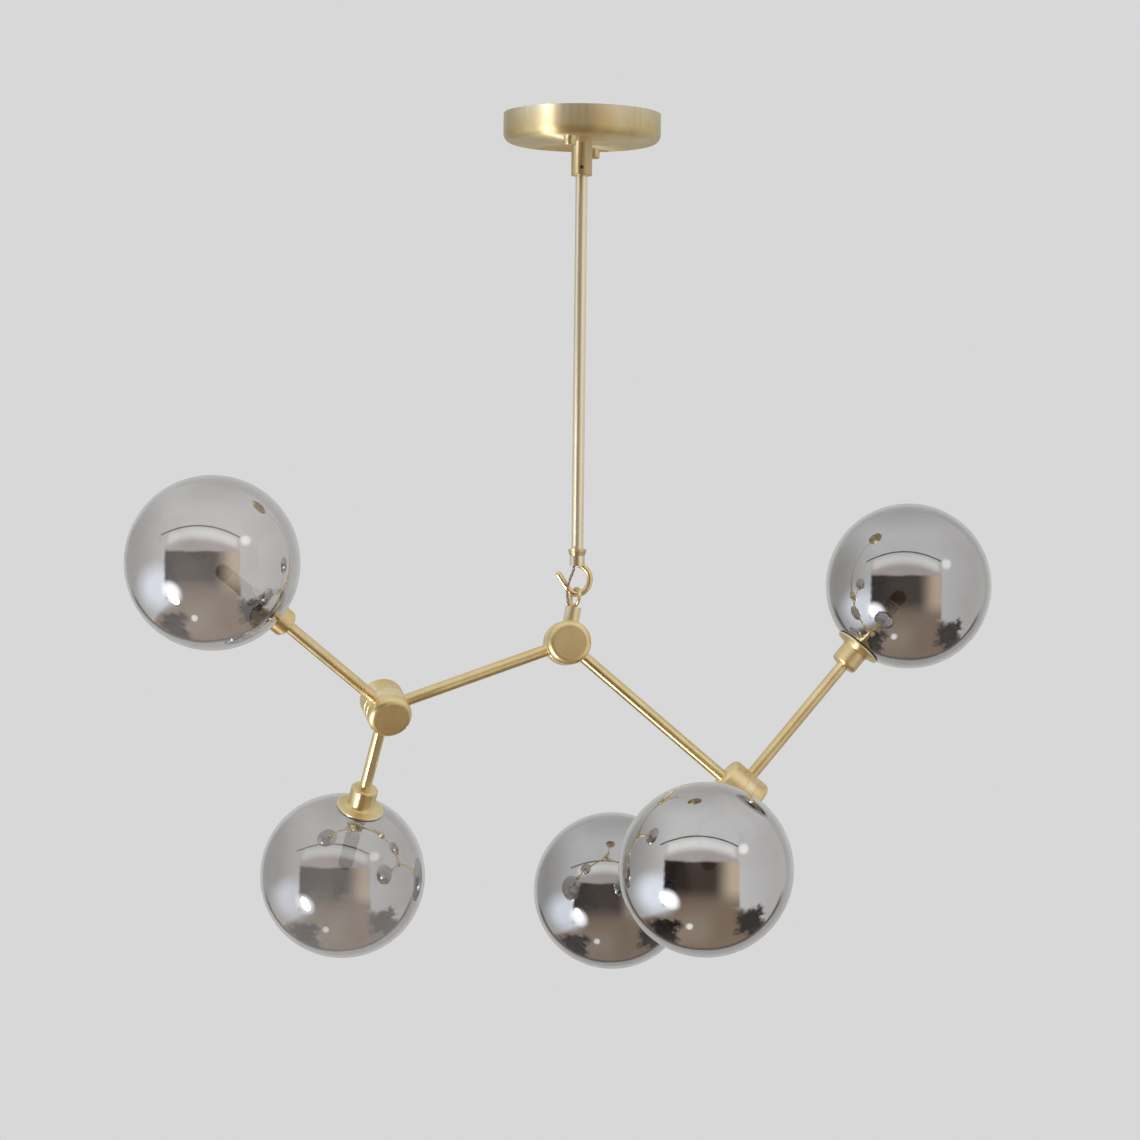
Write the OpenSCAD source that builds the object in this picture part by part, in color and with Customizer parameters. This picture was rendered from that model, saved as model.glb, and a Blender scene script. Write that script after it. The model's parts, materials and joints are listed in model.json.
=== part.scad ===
// Branch chandelier: five smoked glass globes on a brass branch that hangs from a hook.
// The origin is on the ceiling, at the middle of the canopy's top edge.
// +Z is up, +X is to the right and -Y is towards the viewer.

/* [Canopy] */
// Outer diameter of the canopy
canopy_d = 132; // [118:1:150]
// Height of the canopy
canopy_h = 24; // [21:0.5:32]
// Thickness of the canopy's sheet
canopy_wall = 1.2; // [0.8:0.1:2]
// Radius of the canopy's rounded lower edge
canopy_edge_r = 7; // [3:0.5:9]
// Diameter of the two cap nuts under the canopy
cap_nut_d = 10.6; // [9:0.1:13]
// Height of the two cap nuts
cap_nut_h = 7.4; // [6:0.1:10]

/* [Ceiling straps] */
// Distance between the two slots for the ceiling screws
slot_spacing = 88.9; // [84:0.1:92]
// End to end length of a slot
slot_len = 14; // [10:0.5:16]
// Width of a slot
slot_w = 5; // [4:0.1:6]
// Distance between the two canopy studs
stud_spacing = 88.9; // [80:0.1:92]
// Diameter of the canopy studs
stud_d = 4; // [3:0.1:5]
// Turn of the stud strap, from the ceiling strap
stud_strap_turn = 77; // [70:1:110]
// Length of both straps
strap_len = 112; // [110:0.5:114]
// Width of both straps
strap_w = 20; // [16:0.5:24]
// Thickness of both straps
strap_t = 2; // [1.5:0.1:2.4]

/* [Stem] */
// Outer diameter of the stem and of every arm
tube_d = 10; // [9:0.1:10.6]
// Wall thickness of the stem and of every arm
tube_wall = 1; // [0.7:0.1:1.4]
// Outer diameter of the coupling at the top of the stem
coupling_d = 17.5; // [15:0.5:20]
// Length of coupling that shows below the canopy
coupling_show = 27.5; // [22:0.5:34]
// Depth of the coupling's top inside the canopy
coupling_top = 14; // [13.6:0.1:16]
// Height from the ceiling down to the foot of the hook's bend
hook_drop = 402; // [300:1:600]

/* [Hook and loop] */
// Diameter of the hook's round bar in its wide bend
hook_bar_d = 5; // [4.4:0.1:5.2]
// Diameter of the hook's round bar in its bottom bend
hook_foot_d = 5.2; // [4.6:0.1:5.4]
// Radius of the hook's wide bend
hook_bend_r = 12.7; // [12:0.1:14]
// Radius of the hook's bottom bend
hook_foot_r = 8.8; // [8.4:0.1:9.6]
// Diameter of the hook's straight tip
hook_tip_d = 5.4; // [4.8:0.1:5.8]
// Length of the hook's straight tip
hook_tip_len = 14.5; // [10:0.5:20]
// Outer diameter of the hook's socket
hook_socket_d = 12.6; // [12:0.1:14]
// Outer diameter of the lock ring over the hook
lock_ring_d = 15; // [13:0.5:18]
// Outer diameter of the loop's eye
eye_d = 18; // [17.4:0.1:20]
// Diameter of the eye's round bar
eye_bar_d = 3; // [2.6:0.1:3.2]
// Diameter of the loop's base
loop_base_d = 13.5; // [13:0.1:15]
// Length of the loop's base
loop_base_len = 12; // [10:0.5:16]
// Diameter of the supply wire
wire_d = 2.4; // [2:0.1:2.6]

/* [Hubs] */
// Diameter of the three hub drums
hub_d = 37; // [35:0.5:42]
// Length of a hub drum
hub_len = 38; // [35:0.5:44]
// Radius of a hub drum's rounded ends
hub_edge_r = 5; // [3:0.25:6]
// Wall thickness of a hub drum
hub_wall = 3.5; // [3:0.1:4]
// Length of the middle ring of a hub drum
hub_ring_len = 8; // [7.6:0.1:10]
// Turn of the centre hub's face to the right
hub_turn = 7.6; // [0:0.1:20]
// Tilt of the centre hub's face upwards
hub_tilt = 2.7; // [0:0.1:10]

/* [Branch] */
// Angle of the loop on the centre hub
loop_angle = 80; // [75:0.5:90]
// Angle between the loop and the arm to the left hub
left_arm_angle = 120; // [110:0.5:130]
// Angle between the loop and the arm to the right hub
right_arm_angle = 120; // [110:0.5:130]
// Length of bare tube between the centre hub and the left hub
left_arm_len = 124.5; // [80:1:200]
// Length of bare tube between the centre hub and the right hub
right_arm_len = 153.5; // [80:1:200]
// Twist of the left hub about its arm
left_hub_twist = -34; // [-60:0.5:0]
// Twist of the right hub about its arm
right_hub_twist = 0; // [-20:0.5:20]
// Angle of arm 1 from the arm that carries the left hub
arm_1_angle = 118; // [100:0.5:130]
// Angle of arm 2 from the arm that carries the left hub
arm_2_angle = 117; // [100:0.5:130]
// Length of bare tube on lamp arm 1
arm_1_len = 106.5; // [50:0.5:200]
// Length of bare tube on lamp arm 2
arm_2_len = 60; // [50:0.5:200]
// Length of bare tube on lamp arm 3
arm_3_len = 120; // [50:0.5:200]
// Length of bare tube on lamp arm 4
arm_4_len = 132.5; // [50:0.5:200]
// Length of bare tube on lamp arm 5
arm_5_len = 55; // [50:0.5:200]

/* [Lamp holders] */
// Diameter of a lamp holder's cup
holder_d = 23; // [19:0.5:24]
// Length of a lamp holder's cup
holder_len = 16.5; // [14:0.5:28]
// Diameter of the dished flange on a lamp holder
flange_d = 40; // [38:0.5:46]
// Thickness of the flange
flange_t = 1.2; // [0.8:0.1:1.6]
// Diameter of the threaded neck inside the globe
neck_d = 14.6; // [14.4:0.1:16]
// Wall thickness of the threaded neck
neck_wall = 0.9; // [0.8:0.1:1]
// Length of the neck from the flange into the globe
neck_len = 12; // [10:0.5:18]

/* [Globes] */
// Outer diameter of the glass globes
globe_d = 140; // [120:1:160]
// Thickness of the glass
glass_t = 2; // [1.6:0.1:2.6]
// Diameter of a globe's mouth
mouth_d = 28; // [26:0.5:30]
// Diameter of the bulbs at their thick end
bulb_base_d = 16; // [14:0.1:18]
// Diameter of the bulbs along their length
bulb_d = 12.6; // [11:0.1:14]
// Length of bulb that stands out of the neck
bulb_len = 52; // [40:0.5:60]

/* [Hidden] */
$fn = 64;

// Clearances: faces that slide, faces of two moving pieces, and small holes
slip = 0.05;
apart = 0.3;
eps = 0.01;

// Canopy and ceiling fixing
nipple_up = 8;
nipple_bore = 6.4;
nut_across = 15;
nut_h = 4.5;
stud_below = 5;
stud_head_h = 1.6;
stud_head_d = 7;
ground_screw_place = 20;
ground_screw_d = 3.4;
ground_head_h = 2;
ground_slot_w = 0.8;

// Stem and coupling
tube_r = tube_d / 2;
tube_bore_r = tube_r - tube_wall;
coupling_end = canopy_h + coupling_show;
nipple_grip = 13;
nipple_end = coupling_top + nipple_grip;
stem_top = nipple_end + 3;
coupling_edge = 0.8;
grub_d = 3;
grub_key_d = 1.6;
grub_sink = 0.5;
grub_inset = 6.5;
grub_height = coupling_end - grub_inset;

// Hook: it bends round two centres, one for the wide bend and one for its foot
hook_r = hook_bar_d / 2;
foot_bar_r = hook_foot_d / 2;
hook_lap = 3;
hook_join = -60;
hook_start = 78;
hook_seat = 62;
hook_tip_angle = 214;
hook_tip_sink = 0.3;
hook_socket_len = 8.4;
hook_socket_floor = 3.2;
bend_shift = hook_bend_r - hook_foot_r;
foot_centre = [0, 0, hook_foot_r - hook_drop];
bend_centre = foot_centre - bend_shift * [cos(hook_join), 0, sin(hook_join)];
socket_foot = -bend_centre[2] - hook_bend_r * sin(hook_seat);
stem_end = socket_foot - hook_socket_floor - apart;
lock_ring_len = 5.6;
wireway = [-2.6, -1];
wireway_r = wire_d / 2 + 0.5;

// Loop: the eye hangs on the hook's foot
eye_r = eye_d / 2 - eye_bar_d / 2;
eye_gap = 0.45;
eye_top = foot_bar_r + eye_gap + eye_bar_d / 2;
eye_sink = 0.6;
eye_twist = 20;
loop_reach = hub_d / 2 + loop_base_len + eye_d / 2 - eye_sink;
loop_hang = loop_reach + eye_r;
wire_hole_top = 4.6;
wire_hole_foot = 1.5;
wire_hole_turn = 20;

// Route of the supply wire beside the hook, with heights from the hook's foot
wire_bend = [
    [0, 0, 36], [-0.7, -0.3, 32], [-2.1, -0.8, 28.4], [-2.6, -1, 25], [-2.8, -1.2, 21.5],
    [-4, -2.4, 17], [-6, -4.2, 12], [-7.6, -5.3, 6], [-8, -5.1, 0], [-7.5, -4.1, -6],
    [-6.65, -3.19, -10.6], [-6.8, -3.13, -18.5], [-7, -3.06, -28]
];
wire_start = 6;
wire_route = concat([[0, 0, wire_start]], [for (place = wire_bend) place - [0, 0, hook_drop]]);
wire_sides = 8;

// Hubs: the directions of their arms, and of the posts between them
centre_ports = [0, left_arm_angle, -right_arm_angle];
left_ports = [0, arm_1_angle, -arm_2_angle];
right_ports = [0, -120, 120];
hub_r = hub_d / 2;
hub_half = hub_len / 2;
hub_in_r = hub_r - hub_wall;
hub_seam = 0.35;
port_r = hub_in_r - 3;
bead_r = 6.3;
bead_t = 1.2;
loop_top = hub_r + loop_base_len;
wire_hole_lean = atan2(wire_hole_top - wire_hole_foot, loop_top - port_r);
spigot_len = 5;
spigot_r = hub_r - 2;
post_r = 3.2;
post_place = hub_in_r - 3;
post_angles = [60, 180, 300];
ear_t = 4;
hub_screw_d = 3;
screw_depth = 7;
screw_head_d = 5.4;
screw_head_h = 2.4;
screw_key_d = 2.6;
right_floor = 12.4;
right_cap_floor = 5.6;
right_tube_end = -5;

// Lamp holders, measured along the arm from the cup's closed end
globe_r = globe_d / 2;
gasket_t = 0.5;
flange_gap = gasket_t + apart;
tube_seat = 7;
holder_edge_r = 2.5;
holder_fillet_r = 4;
ledge_t = 0.8;
flange_r = flange_d / 2;
flange_face = holder_len + flange_t;
globe_place = flange_face + flange_gap + globe_r;
neck_end = flange_face + neck_len;
neck_r = neck_d / 2;
neck_in_r = neck_r - neck_wall;
socket_foot_place = tube_seat + ledge_t;
socket_inset = 4;
socket_end = neck_end - socket_inset;
pin_spread = 9;
pin_d = 1.4;
pin_len = 6;
bulb_stub_r = 5.6;
bulb_base_len = 9;
bulb_taper_len = 9;
bulb_edge_r = 2;
mouth_r = mouth_d / 2;
gasket_in_r = mouth_r + 2;
collar_lip = 2;
collar_lip_t = 1.2;

lamps = [1:5];
arm_lens = [arm_1_len, arm_2_len, arm_3_len, arm_4_len, arm_5_len];

BRASS = [0.80, 0.68, 0.44];
STEEL = [0.72, 0.73, 0.75];
SMOKE = [0.45, 0.42, 0.41, 0.6];
CLEAR = [0.85, 0.88, 0.9, 0.6];
CERAMIC = [0.93, 0.92, 0.88];
RUBBER = [0.12, 0.11, 0.10];
WIRE = [0.75, 0.72, 0.66];
GREEN = [0.15, 0.45, 0.22];

// ---------- frames that carry the branch ----------

// Drum frame of the centre hub: +Z out of its face, angles read as in the picture
module at_centre_hub() {
    translate([0, 0, eye_top - hook_drop])
        rotate([-hub_tilt, 0, hub_turn])
            rotate([90, 0, 0])
                rotate([0, 0, loop_angle])
                    translate([-loop_hang, 0, 0])
                        children();
}

// Drum frame of the left hub, with +X along the arm that carries it
module at_left_hub() {
    at_centre_hub()
        rotate([0, 0, left_arm_angle])
            translate([2 * hub_r + left_arm_len, 0, 0])
                rotate([left_hub_twist, 0, 0])
                    children();
}

// Drum frame of the right hub, whose axis is the axis of its arm, with +X along arm 3
module at_right_hub() {
    at_centre_hub()
        rotate([0, 0, -right_arm_angle])
            translate([hub_r + right_arm_len + hub_half, 0, 0])
                rotate([0, 90, 0])
                    rotate([0, 0, 90 + right_hub_twist])
                        children();
}

// Start of lamp arm n, on its hub's axis, with +X out along the arm
module at_arm(n) {
    if (n <= 2)
        at_left_hub() rotate([0, 0, 180 + left_ports[n]]) children();
    else
        at_right_hub() rotate([0, 0, right_ports[n - 3]]) children();
}

// Lamp frame: origin at the holder's closed end, +Z out along the arm
module at_lamp(n) {
    at_arm(n)
        translate([hub_r + arm_lens[n - 1], 0, 0])
            rotate([0, 90, 0])
                children();
}

// ---------- ceiling fixing ----------

module hex_nut(across, height, hole_d) {
    difference() {
        cylinder(d = across / cos(30), h = height, $fn = 6);
        translate([0, 0, -1]) cylinder(d = hole_d, h = height + 2);
    }
}

module strap_blank() {
    intersection() {
        translate([-strap_len / 2, -strap_w / 2, 0]) cube([strap_len, strap_w, strap_t]);
        cylinder(d = strap_len, h = strap_t);
    }
}

module slot(length, width) {
    for (side = [-1, 1]) {
        translate([side * (length - width) / 2, 0, -1]) cylinder(d = width, h = strap_t + 2);
    }
    translate([-(length - width) / 2, -width / 2, -1]) cube([length - width, width, strap_t + 2]);
}

module ceiling_strap() {
    color(STEEL) translate([0, 0, -strap_t]) difference() {
        strap_blank();
        translate([0, 0, -1]) cylinder(d = tube_d + 2 * slip, h = strap_t + 2);
        for (side = [-1, 1]) {
            translate([side * slot_spacing / 2, 0, 0]) slot(slot_len, slot_w);
        }
        translate([ground_screw_place, 0, -1]) cylinder(d = ground_screw_d + 2 * slip, h = strap_t + 2);
    }
}

module on_stud_strap() {
    rotate([0, 0, stud_strap_turn]) children();
}

module stud_strap() {
    color(STEEL) on_stud_strap() translate([0, 0, -2 * strap_t]) difference() {
        strap_blank();
        translate([0, 0, -1]) cylinder(d = tube_d + 2 * slip, h = strap_t + 2);
        for (side = [-1, 1]) {
            translate([side * stud_spacing / 2, 0, -1]) cylinder(d = stud_d + 2 * slip, h = strap_t + 2);
        }
    }
}

module ground_screw() {
    color(GREEN) translate([ground_screw_place, 0, -strap_t]) {
        translate([0, 0, -ground_head_h]) difference() {
            cylinder(d = 2 * ground_screw_d, h = ground_head_h);
            translate([-ground_screw_d - 1, -ground_slot_w / 2, -1])
                cube([2 * ground_screw_d + 2, ground_slot_w, 1 + ground_slot_w]);
        }
        cylinder(d = ground_screw_d, h = strap_t);
    }
}

module canopy_studs() {
    color(STEEL) on_stud_strap() for (side = [-1, 1]) {
        translate([side * stud_spacing / 2, 0, -strap_t]) cylinder(d = stud_head_d, h = stud_head_h);
        translate([side * stud_spacing / 2, 0, -canopy_h - stud_below])
            cylinder(d = stud_d, h = canopy_h + stud_below - strap_t + eps);
    }
}

module nipple() {
    color(STEEL) translate([0, 0, -nipple_end]) difference() {
        cylinder(d = tube_d, h = nipple_end + nipple_up);
        translate([0, 0, -1]) cylinder(d = nipple_bore, h = nipple_end + nipple_up + 2);
    }
}

module nipple_nuts() {
    color(STEEL) for (foot = [0, -2 * strap_t - nut_h, -coupling_top]) {
        translate([0, 0, foot]) hex_nut(nut_across, nut_h - 0.1, tube_d + 2 * slip);
    }
}

// ---------- stem ----------

module stem_coupling() {
    color(BRASS) difference() {
        translate([0, 0, -coupling_end]) rotate_extrude()
            round_box(coupling_d / 2, coupling_end - coupling_top, coupling_edge);
        translate([0, 0, -nipple_end - eps]) cylinder(d = tube_d + 2 * slip, h = nipple_end);
        translate([0, 0, -stem_top - eps]) cylinder(d = nipple_bore, h = stem_top);
        translate([0, 0, -coupling_end - 1])
            cylinder(d = tube_d + 2 * slip, h = coupling_end - stem_top + 1);
        translate([0, 0, -grub_height]) rotate([90, 0, 0])
            cylinder(d = grub_d + 2 * slip, h = coupling_d);
    }
}

module coupling_screw() {
    color(STEEL) translate([0, -tube_r - 0.1, -grub_height]) rotate([90, 0, 0]) difference() {
        cylinder(d = grub_d, h = coupling_d / 2 - tube_r - 0.1 - grub_sink);
        translate([0, 0, 1]) cylinder(d = grub_key_d, h = coupling_d, $fn = 6);
    }
}

module stem() {
    color(BRASS) translate([0, 0, -stem_end]) difference() {
        cylinder(r = tube_r, h = stem_end - stem_top);
        translate([0, 0, -1]) cylinder(r = tube_bore_r, h = stem_end);
    }
}

module hook_lock_ring() {
    rim = 2.2;
    color(BRASS) translate([0, 0, -socket_foot + hook_socket_len + apart]) difference() {
        union() {
            cylinder(d1 = hook_socket_d, d2 = lock_ring_d, h = lock_ring_len - rim);
            translate([0, 0, lock_ring_len - rim]) cylinder(d = lock_ring_d, h = rim);
        }
        translate([0, 0, -1]) cylinder(r = tube_r + slip, h = lock_ring_len + 2);
    }
}

// ---------- canopy ----------

// Side view of a round box that stands open end up, with a rounded lower edge
module round_box(radius, height, edge) {
    translate([0, edge]) square([radius, height - edge]);
    square([radius - edge, height]);
    translate([radius - edge, edge]) circle(edge);
}

module canopy() {
    color(BRASS) translate([0, 0, -canopy_h]) difference() {
        rotate_extrude($fn = 128) difference() {
            round_box(canopy_d / 2, canopy_h, canopy_edge_r);
            translate([0, canopy_wall])
                round_box(canopy_d / 2 - canopy_wall, canopy_h, canopy_edge_r - canopy_wall);
        }
        translate([0, 0, -1]) cylinder(d = coupling_d + 2 * apart, h = canopy_wall + 2);
        on_stud_strap() for (side = [-1, 1]) {
            translate([side * stud_spacing / 2, 0, -1])
                cylinder(d = stud_d + 2 * apart, h = canopy_wall + 2);
        }
    }
}

module cap_nuts() {
    edge = 1.2;
    color(BRASS) on_stud_strap() for (side = [-1, 1]) {
        translate([side * stud_spacing / 2, 0, -canopy_h - cap_nut_h]) difference() {
            rotate_extrude() round_box(cap_nut_d / 2, cap_nut_h, edge);
            translate([0, 0, cap_nut_h - stud_below - apart])
                cylinder(d = stud_d + 2 * slip, h = cap_nut_h);
        }
    }
}

// ---------- hook, wire and loop ----------

// Round bar bent through an angle, in the XZ plane
module bent_bar(bend_r, bar_r, from, to) {
    rotate([90, 0, 0]) rotate([0, 0, from])
        rotate_extrude(angle = to - from) translate([bend_r, 0]) circle(bar_r);
}

// Half section of a pin with a round end
module round_pin(radius, length) {
    square([radius, length]);
    translate([0, length]) intersection() {
        circle(radius);
        square(radius);
    }
}

module hook() {
    color(BRASS) difference() {
        union() {
            translate([0, 0, -socket_foot]) cylinder(d = hook_socket_d, h = hook_socket_len);
            translate(bend_centre) bent_bar(hook_bend_r, hook_r, hook_join - hook_lap, hook_start);
            translate(foot_centre) bent_bar(hook_foot_r, foot_bar_r, hook_tip_angle, 360 + hook_join);
            translate(foot_centre + hook_foot_r * [cos(hook_tip_angle), 0, sin(hook_tip_angle)])
                rotate([0, 180 - hook_tip_angle, 0]) translate([0, 0, -hook_tip_sink])
                    rotate_extrude() round_pin(hook_tip_d / 2, hook_tip_len + hook_tip_sink);
        }
        translate([0, 0, -socket_foot + hook_socket_floor])
            cylinder(r = tube_r + slip, h = hook_socket_len);
        translate([wireway[0], wireway[1], -socket_foot - hook_r])
            cylinder(r = wireway_r, h = hook_socket_len);
    }
}

function unit(v) = v / norm(v);
function route_heading(i) =
    unit(wire_route[min(i + 1, len(wire_route) - 1)] - wire_route[max(i - 1, 0)]);
function wire_ring(i) =
    let (ahead = route_heading(i), side = unit(cross(ahead, [0, 1, 0])), front = cross(ahead, side))
    [for (k = [0:wire_sides - 1])
        wire_route[i] + wire_d / 2 * (cos(360 * k / wire_sides) * side + sin(360 * k / wire_sides) * front)];

// Tube swept along the wire's route, ring by ring
module supply_wire() {
    last = len(wire_route) - 1;
    points = [for (i = [0:last]) each wire_ring(i)];
    sides = [for (i = [0:last - 1]) for (k = [0:wire_sides - 1])
        let (a = i * wire_sides + k, b = i * wire_sides + (k + 1) % wire_sides)
        [a, b, b + wire_sides, a + wire_sides]];
    start = [for (k = [wire_sides - 1:-1:0]) k];
    finish = [for (k = [0:wire_sides - 1]) last * wire_sides + k];
    color(WIRE) polyhedron(points = points, faces = concat([start], sides, [finish]));
}

module loop() {
    color(BRASS) at_centre_hub() difference() {
        union() {
            translate([loop_reach, 0, 0]) rotate([90 + eye_twist, 0, 0])
                rotate_extrude() translate([eye_r, 0]) circle(eye_bar_d / 2);
            difference() {
                translate([hub_r - 2, 0, 0]) rotate([0, 90, 0])
                    cylinder(d = loop_base_d, h = loop_base_len + 2);
                translate([0, 0, -hub_half]) cylinder(r = hub_r, h = hub_len);
            }
            translate([port_r, 0, 0]) rotate([0, 90, 0]) {
                cylinder(r = tube_r, h = loop_top - port_r - 1);
                cylinder(r = bead_r, h = bead_t);
            }
        }
        rotate([wire_hole_turn, 0, 0]) translate([loop_top, wire_hole_top, 0])
            rotate([0, 0, wire_hole_lean]) rotate([0, -90, 0])
                translate([0, 0, -3]) cylinder(d = wire_d + 0.6, h = loop_top);
    }
}

// ---------- hubs ----------

module at_posts() {
    for (angle = post_angles) {
        rotate([0, 0, angle]) translate([post_place, 0, 0]) children();
    }
}

module port_holes(ports) {
    for (angle = ports) {
        rotate([0, 0, angle]) rotate([0, 90, 0]) cylinder(r = tube_r + slip, h = hub_r + 1);
    }
}

// Half section of a hub's end cup, with its open edge chamfered so that the seam shows
module cup_section(height) {
    intersection() {
        round_box(hub_r, height, hub_edge_r);
        polygon([
            [0, 0], [hub_r, 0], [hub_r, height - hub_seam], [hub_r - hub_seam, height], [0, height]
        ]);
    }
}

// Cup behind the arms: the three posts take the clamp screws
module hub_back(floor_t, ports) {
    color(BRASS) difference() {
        union() {
            difference() {
                translate([0, 0, -hub_half]) rotate_extrude() cup_section(hub_half);
                translate([0, 0, -hub_half + floor_t]) cylinder(r = hub_in_r, h = hub_half);
            }
            intersection() {
                translate([0, 0, -hub_half + 1]) at_posts() cylinder(r = post_r, h = hub_half - 1);
                translate([0, 0, -hub_half]) cylinder(r = hub_in_r + 1, h = hub_half);
            }
        }
        translate([0, 0, -screw_depth - apart]) at_posts()
            cylinder(d = hub_screw_d + 2 * slip, h = screw_depth + 1);
        port_holes(ports);
        children();
    }
}

// Ring before the arms: it is screwed to the back, and the cap screws onto its spigot
module hub_ring(ports) {
    color(BRASS) difference() {
        union() {
            difference() {
                union() {
                    rotate_extrude() polygon([
                        [0, 0], [hub_r - hub_seam, 0], [hub_r, hub_seam],
                        [hub_r, hub_ring_len - hub_seam], [hub_r - hub_seam, hub_ring_len],
                        [0, hub_ring_len]
                    ]);
                    cylinder(r = spigot_r, h = hub_ring_len + spigot_len);
                }
                translate([0, 0, -1]) cylinder(r = hub_in_r, h = hub_ring_len + spigot_len + 2);
            }
            intersection() {
                at_posts() cylinder(r = post_r, h = ear_t);
                cylinder(r = hub_in_r + 1, h = ear_t);
            }
        }
        translate([0, 0, -1]) at_posts() cylinder(d = hub_screw_d + 2 * slip, h = ear_t + 2);
        port_holes(ports);
    }
}

module hub_cap(floor_t) {
    color(BRASS) translate([0, 0, hub_half]) mirror([0, 0, 1]) difference() {
        rotate_extrude() cup_section(hub_half - hub_ring_len);
        translate([0, 0, floor_t]) cylinder(r = hub_in_r, h = hub_half);
        translate([0, 0, hub_half - hub_ring_len - spigot_len - apart])
            cylinder(r = spigot_r + slip, h = hub_half);
    }
}

module clamp_screws() {
    at_posts() {
        translate([0, 0, -screw_depth]) cylinder(d = hub_screw_d, h = screw_depth + ear_t + eps);
        translate([0, 0, ear_t]) difference() {
            cylinder(d = screw_head_d, h = screw_head_h);
            translate([0, 0, screw_head_h / 2]) cylinder(d = screw_key_d, h = screw_head_h, $fn = 6);
        }
    }
}

module centre_hub_back() {
    at_centre_hub() hub_back(hub_wall, centre_ports);
}

module centre_hub_ring() {
    at_centre_hub() hub_ring(centre_ports);
}

module centre_hub_cap() {
    at_centre_hub() hub_cap(hub_wall);
}

module left_hub_back() {
    at_left_hub() rotate([0, 0, 180]) hub_back(hub_wall, left_ports);
}

module left_hub_ring() {
    at_left_hub() rotate([0, 0, 180]) hub_ring(left_ports);
}

module left_hub_cap() {
    at_left_hub() hub_cap(hub_wall);
}

// The back of the right hub is thick, and its arm comes in through the middle
module right_hub_back() {
    at_right_hub() hub_back(right_floor, right_ports)
        translate([0, 0, -hub_half - 1]) cylinder(r = tube_r + slip, h = hub_half);
}

module right_hub_ring() {
    at_right_hub() hub_ring(right_ports);
}

module right_hub_cap() {
    at_right_hub() hub_cap(right_cap_floor);
}

module hub_screws() {
    color(STEEL) {
        at_centre_hub() clamp_screws();
        at_left_hub() rotate([0, 0, 180]) clamp_screws();
        at_right_hub() clamp_screws();
    }
}

// ---------- arms ----------

// Tube along +X, with a bead at its start that keeps it in its hub
module arm_tube(from, to) {
    rotate([0, 90, 0]) difference() {
        translate([0, 0, from]) {
            cylinder(r = tube_r, h = to - from);
            cylinder(r = bead_r, h = bead_t);
        }
        translate([0, 0, from - 1]) cylinder(r = tube_bore_r, h = to - from + 2);
    }
}

module end_bead(place) {
    translate([place, 0, 0]) rotate([0, 90, 0]) difference() {
        cylinder(r = bead_r, h = bead_t);
        translate([0, 0, -1]) cylinder(r = tube_bore_r, h = bead_t + 2);
    }
}

module arm_centre_left() {
    far_end = 2 * hub_r + left_arm_len - port_r;
    color(BRASS) at_centre_hub() rotate([0, 0, left_arm_angle]) {
        arm_tube(port_r, far_end);
        end_bead(far_end - bead_t);
    }
}

module arm_centre_right() {
    far_end = hub_r + right_arm_len + hub_half + right_tube_end;
    color(BRASS) at_centre_hub() rotate([0, 0, -right_arm_angle]) {
        arm_tube(port_r, far_end);
        end_bead(far_end - bead_t);
    }
}

module arm(n) {
    color(BRASS) at_arm(n) arm_tube(port_r, hub_r + arm_lens[n - 1] + tube_seat);
}

// ---------- lamps ----------

function dish_z(dish_r, at_r) = globe_place - sqrt(dish_r * dish_r - at_r * at_r);

// Half section of the flange, which follows the globe
module flange_section() {
    back_r = globe_r + flange_gap + flange_t;
    intersection() {
        translate([0, globe_place]) difference() {
            circle(back_r, $fn = 180);
            circle(back_r - flange_t, $fn = 180);
        }
        square([flange_r, globe_place]);
    }
}

// Half section of the round blend between the cup and the flange's back
module holder_blend() {
    back_r = globe_r + flange_gap + flange_t;
    blend_x = holder_d / 2 + holder_fillet_r;
    blend_z = dish_z(back_r + holder_fillet_r, blend_x);
    touch_x = blend_x * back_r / (back_r + holder_fillet_r);
    difference() {
        polygon([
            [neck_r, blend_z], [blend_x, blend_z],
            [touch_x, dish_z(back_r, touch_x)],
            [touch_x, dish_z(back_r - flange_t / 2, touch_x)],
            [neck_r, dish_z(back_r - flange_t / 2, neck_r)]
        ]);
        translate([blend_x, blend_z]) circle(holder_fillet_r);
    }
}

module holder(n) {
    color(BRASS) at_lamp(n) rotate_extrude() difference() {
        union() {
            round_box(holder_d / 2, holder_len + flange_t / 2, holder_edge_r);
            flange_section();
            holder_blend();
            translate([0, holder_len]) square([neck_r, neck_end - holder_len]);
        }
        translate([0, -1]) square([tube_r + slip, tube_seat + 1]);
        square([tube_bore_r, neck_end]);
        translate([0, socket_foot_place]) square([neck_in_r, neck_end]);
    }
}

module socket(n) {
    color(CERAMIC) at_lamp(n) translate([0, 0, socket_foot_place]) difference() {
        cylinder(r = neck_in_r - 2 * slip, h = socket_end - socket_foot_place);
        for (side = [-1, 1]) {
            translate([side * pin_spread / 2, 0, socket_end - socket_foot_place - pin_len - 1])
                cylinder(d = pin_d + 4 * slip, h = pin_len + 2);
        }
    }
}

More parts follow.
